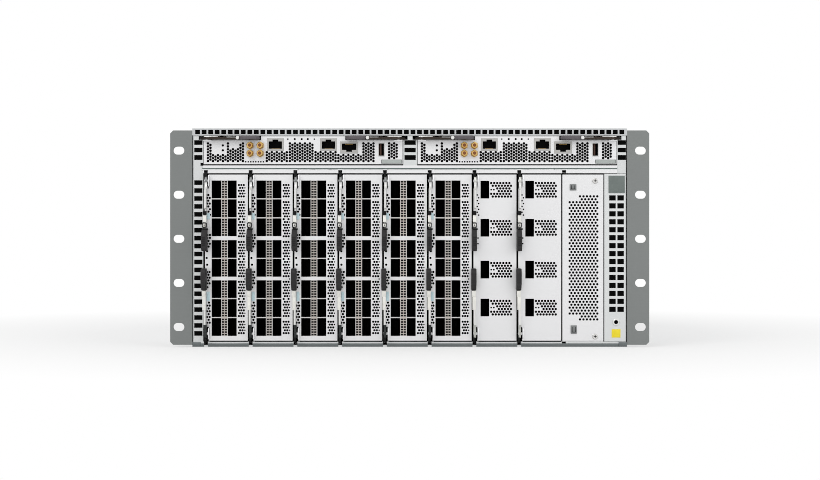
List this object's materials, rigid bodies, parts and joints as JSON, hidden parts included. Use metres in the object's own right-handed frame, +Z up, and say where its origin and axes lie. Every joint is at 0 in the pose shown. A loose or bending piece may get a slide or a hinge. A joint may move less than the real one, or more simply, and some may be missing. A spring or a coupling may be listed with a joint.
{
  "type": "modular chassis switch",
  "caption": "Rack-mount chassis with vertical line cards and flat control cards on ejector levers, filler and intake panels, rear fan trays and slide-in power supplies.",
  "frame": {"origin": "centre of the underside of the chassis body", "axes": "+X to the viewer's right, -Y to the front, +Z up"},
  "size_m": [0.4826, 0.616, 0.22],
  "materials": {
    "chassis_sheet": "zinc plated, satin",
    "cover_sheet": "zinc plated, satin",
    "ear_metal": "plated, satin",
    "front_metal": "bright plated, satin",
    "card_plate": "bright plated, satin",
    "board": "solder-masked laminate",
    "lever": "moulded, matte",
    "midplane_board": "solder-masked laminate",
    "fan_metal": "plated, satin",
    "rotor": "moulded, matte",
    "psu_case": "plated, satin",
    "filler_plate": "bright plated, satin"
  },
  "bodies": {
    "chassis": {"chassis_tray": "chassis_sheet", "top_cover": "cover_sheet", "rack_ear_left": "ear_metal", "rack_ear_right": "ear_metal", "front_frame": "front_metal", "card_shelf": "front_metal", "intake_panel": "front_metal", "midplane": "midplane_board", "rear_bulkhead": "chassis_sheet"},
    "line_card_1": {"line_card_1_faceplate": "card_plate", "line_card_1_board": "board"},
    "line_card_1_upper_lever": {"line_card_1_upper_ejector": "lever"},
    "line_card_1_lower_lever": {"line_card_1_lower_ejector": "lever"},
    "line_card_2": {"line_card_2_faceplate": "card_plate", "line_card_2_board": "board"},
    "line_card_2_upper_lever": {"line_card_2_upper_ejector": "lever"},
    "line_card_2_lower_lever": {"line_card_2_lower_ejector": "lever"},
    "line_card_3": {"line_card_3_faceplate": "card_plate", "line_card_3_board": "board"},
    "line_card_3_upper_lever": {"line_card_3_upper_ejector": "lever"},
    "line_card_3_lower_lever": {"line_card_3_lower_ejector": "lever"},
    "line_card_4": {"line_card_4_faceplate": "card_plate", "line_card_4_board": "board"},
    "line_card_4_upper_lever": {"line_card_4_upper_ejector": "lever"},
    "line_card_4_lower_lever": {"line_card_4_lower_ejector": "lever"},
    "line_card_5": {"line_card_5_faceplate": "card_plate", "line_card_5_board": "board"},
    "line_card_5_upper_lever": {"line_card_5_upper_ejector": "lever"},
    "line_card_5_lower_lever": {"line_card_5_lower_ejector": "lever"},
    "line_card_6": {"line_card_6_faceplate": "card_plate", "line_card_6_board": "board"},
    "line_card_6_upper_lever": {"line_card_6_upper_ejector": "lever"},
    "line_card_6_lower_lever": {"line_card_6_lower_ejector": "lever"},
    "line_card_7": {"line_card_7_faceplate": "card_plate", "line_card_7_board": "board"},
    "line_card_7_upper_lever": {"line_card_7_upper_ejector": "lever"},
    "line_card_7_lower_lever": {"line_card_7_lower_ejector": "lever"},
    "line_card_8": {"line_card_8_faceplate": "card_plate", "line_card_8_board": "board"},
    "line_card_8_upper_lever": {"line_card_8_upper_ejector": "lever"},
    "line_card_8_lower_lever": {"line_card_8_lower_ejector": "lever"},
    "control_card_1": {"control_card_1_faceplate": "card_plate", "control_card_1_board": "board"},
    "control_card_1_left_lever": {"control_card_1_left_ejector": "lever"},
    "control_card_1_right_lever": {"control_card_1_right_ejector": "lever"},
    "control_card_2": {"control_card_2_faceplate": "card_plate", "control_card_2_board": "board"},
    "control_card_2_left_lever": {"control_card_2_left_ejector": "lever"},
    "control_card_2_right_lever": {"control_card_2_right_ejector": "lever"},
    "filler": {"filler_panel": "filler_plate"},
    "fan_tray_1": {"fan_tray_1": "fan_metal"},
    "fan_tray_1_left_fan": {"fan_tray_1_left_rotor": "rotor"},
    "fan_tray_1_right_fan": {"fan_tray_1_right_rotor": "rotor"},
    "fan_tray_2": {"fan_tray_2": "fan_metal"},
    "fan_tray_2_left_fan": {"fan_tray_2_left_rotor": "rotor"},
    "fan_tray_2_right_fan": {"fan_tray_2_right_rotor": "rotor"},
    "power_supply_1": {"power_supply_1": "psu_case"},
    "power_supply_2": {"power_supply_2": "psu_case"},
    "power_supply_3": {"power_supply_3": "psu_case"},
    "power_supply_4": {"power_supply_4": "psu_case"}
  },
  "joints": [
    {"name": "line_card_1_slide", "type": "slide", "parent": "chassis", "child": "line_card_1", "axis": [0, -1, 0], "range_m": [0, 0.34]},
    {"name": "line_card_1_upper_hinge", "type": "hinge", "parent": "line_card_1", "child": "line_card_1_upper_lever", "pos_m": [-0.2042, -0.293, 0.1671], "axis": [-1, 0, 0], "range_deg": [0, 75]},
    {"name": "line_card_1_lower_hinge", "type": "hinge", "parent": "line_card_1", "child": "line_card_1_lower_lever", "pos_m": [-0.2042, -0.293, 0.0135], "axis": [1, 0, 0], "range_deg": [0, 75]},
    {"name": "line_card_2_slide", "type": "slide", "parent": "chassis", "child": "line_card_2", "axis": [0, -1, 0], "range_m": [0, 0.34]},
    {"name": "line_card_2_upper_hinge", "type": "hinge", "parent": "line_card_2", "child": "line_card_2_upper_lever", "pos_m": [-0.1591, -0.293, 0.1671], "axis": [-1, 0, 0], "range_deg": [0, 75]},
    {"name": "line_card_2_lower_hinge", "type": "hinge", "parent": "line_card_2", "child": "line_card_2_lower_lever", "pos_m": [-0.1591, -0.293, 0.0135], "axis": [1, 0, 0], "range_deg": [0, 75]},
    {"name": "line_card_3_slide", "type": "slide", "parent": "chassis", "child": "line_card_3", "axis": [0, -1, 0], "range_m": [0, 0.34]},
    {"name": "line_card_3_upper_hinge", "type": "hinge", "parent": "line_card_3", "child": "line_card_3_upper_lever", "pos_m": [-0.114, -0.293, 0.1671], "axis": [-1, 0, 0], "range_deg": [0, 75]},
    {"name": "line_card_3_lower_hinge", "type": "hinge", "parent": "line_card_3", "child": "line_card_3_lower_lever", "pos_m": [-0.114, -0.293, 0.0135], "axis": [1, 0, 0], "range_deg": [0, 75]},
    {"name": "line_card_4_slide", "type": "slide", "parent": "chassis", "child": "line_card_4", "axis": [0, -1, 0], "range_m": [0, 0.34]},
    {"name": "line_card_4_upper_hinge", "type": "hinge", "parent": "line_card_4", "child": "line_card_4_upper_lever", "pos_m": [-0.0689, -0.293, 0.1671], "axis": [-1, 0, 0], "range_deg": [0, 75]},
    {"name": "line_card_4_lower_hinge", "type": "hinge", "parent": "line_card_4", "child": "line_card_4_lower_lever", "pos_m": [-0.0689, -0.293, 0.0135], "axis": [1, 0, 0], "range_deg": [0, 75]},
    {"name": "line_card_5_slide", "type": "slide", "parent": "chassis", "child": "line_card_5", "axis": [0, -1, 0], "range_m": [0, 0.34]},
    {"name": "line_card_5_upper_hinge", "type": "hinge", "parent": "line_card_5", "child": "line_card_5_upper_lever", "pos_m": [-0.0238, -0.293, 0.1671], "axis": [-1, 0, 0], "range_deg": [0, 75]},
    {"name": "line_card_5_lower_hinge", "type": "hinge", "parent": "line_card_5", "child": "line_card_5_lower_lever", "pos_m": [-0.0238, -0.293, 0.0135], "axis": [1, 0, 0], "range_deg": [0, 75]},
    {"name": "line_card_6_slide", "type": "slide", "parent": "chassis", "child": "line_card_6", "axis": [0, -1, 0], "range_m": [0, 0.34]},
    {"name": "line_card_6_upper_hinge", "type": "hinge", "parent": "line_card_6", "child": "line_card_6_upper_lever", "pos_m": [0.0213, -0.293, 0.1671], "axis": [-1, 0, 0], "range_deg": [0, 75]},
    {"name": "line_card_6_lower_hinge", "type": "hinge", "parent": "line_card_6", "child": "line_card_6_lower_lever", "pos_m": [0.0213, -0.293, 0.0135], "axis": [1, 0, 0], "range_deg": [0, 75]},
    {"name": "line_card_7_slide", "type": "slide", "parent": "chassis", "child": "line_card_7", "axis": [0, -1, 0], "range_m": [0, 0.34]},
    {"name": "line_card_7_upper_hinge", "type": "hinge", "parent": "line_card_7", "child": "line_card_7_upper_lever", "pos_m": [0.0664, -0.293, 0.1671], "axis": [-1, 0, 0], "range_deg": [0, 75]},
    {"name": "line_card_7_lower_hinge", "type": "hinge", "parent": "line_card_7", "child": "line_card_7_lower_lever", "pos_m": [0.0664, -0.293, 0.0135], "axis": [1, 0, 0], "range_deg": [0, 75]},
    {"name": "line_card_8_slide", "type": "slide", "parent": "chassis", "child": "line_card_8", "axis": [0, -1, 0], "range_m": [0, 0.34]},
    {"name": "line_card_8_upper_hinge", "type": "hinge", "parent": "line_card_8", "child": "line_card_8_upper_lever", "pos_m": [0.1115, -0.293, 0.1671], "axis": [-1, 0, 0], "range_deg": [0, 75]},
    {"name": "line_card_8_lower_hinge", "type": "hinge", "parent": "line_card_8", "child": "line_card_8_lower_lever", "pos_m": [0.1115, -0.293, 0.0135], "axis": [1, 0, 0], "range_deg": [0, 75]},
    {"name": "control_card_1_slide", "type": "slide", "parent": "chassis", "child": "control_card_1", "axis": [0, -1, 0], "range_m": [0, 0.34]},
    {"name": "control_card_1_left_hinge", "type": "hinge", "parent": "control_card_1", "child": "control_card_1_left_lever", "pos_m": [-0.2035, -0.293, 0.2102], "axis": [0, 0, -1], "range_deg": [0, 75]},
    {"name": "control_card_1_right_hinge", "type": "hinge", "parent": "control_card_1", "child": "control_card_1_right_lever", "pos_m": [-0.0113, -0.293, 0.2102], "axis": [0, 0, 1], "range_deg": [0, 75]},
    {"name": "control_card_2_slide", "type": "slide", "parent": "chassis", "child": "control_card_2", "axis": [0, -1, 0], "range_m": [0, 0.34]},
    {"name": "control_card_2_left_hinge", "type": "hinge", "parent": "control_card_2", "child": "control_card_2_left_lever", "pos_m": [0.0121, -0.293, 0.2102], "axis": [0, 0, -1], "range_deg": [0, 75]},
    {"name": "control_card_2_right_hinge", "type": "hinge", "parent": "control_card_2", "child": "control_card_2_right_lever", "pos_m": [0.2043, -0.293, 0.2102], "axis": [0, 0, 1], "range_deg": [0, 75]},
    {"name": "filler_slide", "type": "slide", "parent": "chassis", "child": "filler", "axis": [0, -1, 0], "range_m": [0, 0.03]},
    {"name": "fan_tray_1_slide", "type": "slide", "parent": "chassis", "child": "fan_tray_1", "axis": [0, 1, 0], "range_m": [0, 0.1]},
    {"name": "fan_tray_1_left_spin", "type": "hinge", "parent": "fan_tray_1", "child": "fan_tray_1_left_fan", "pos_m": [-0.1611, 0.254, 0.1293], "axis": [0, 1, 0], "continuous": true},
    {"name": "fan_tray_1_right_spin", "type": "hinge", "parent": "fan_tray_1", "child": "fan_tray_1_right_fan", "pos_m": [-0.0571, 0.254, 0.1293], "axis": [0, 1, 0], "continuous": true},
    {"name": "fan_tray_2_slide", "type": "slide", "parent": "chassis", "child": "fan_tray_2", "axis": [0, 1, 0], "range_m": [0, 0.1]},
    {"name": "fan_tray_2_left_spin", "type": "hinge", "parent": "fan_tray_2", "child": "fan_tray_2_left_fan", "pos_m": [0.0571, 0.254, 0.1293], "axis": [0, 1, 0], "continuous": true},
    {"name": "fan_tray_2_right_spin", "type": "hinge", "parent": "fan_tray_2", "child": "fan_tray_2_right_fan", "pos_m": [0.1611, 0.254, 0.1293], "axis": [0, 1, 0], "continuous": true},
    {"name": "power_supply_1_slide", "type": "slide", "parent": "chassis", "child": "power_supply_1", "axis": [0, 1, 0], "range_m": [0, 0.27]},
    {"name": "power_supply_2_slide", "type": "slide", "parent": "chassis", "child": "power_supply_2", "axis": [0, 1, 0], "range_m": [0, 0.27]},
    {"name": "power_supply_3_slide", "type": "slide", "parent": "chassis", "child": "power_supply_3", "axis": [0, 1, 0], "range_m": [0, 0.27]},
    {"name": "power_supply_4_slide", "type": "slide", "parent": "chassis", "child": "power_supply_4", "axis": [0, 1, 0], "range_m": [0, 0.27]}
  ]
}
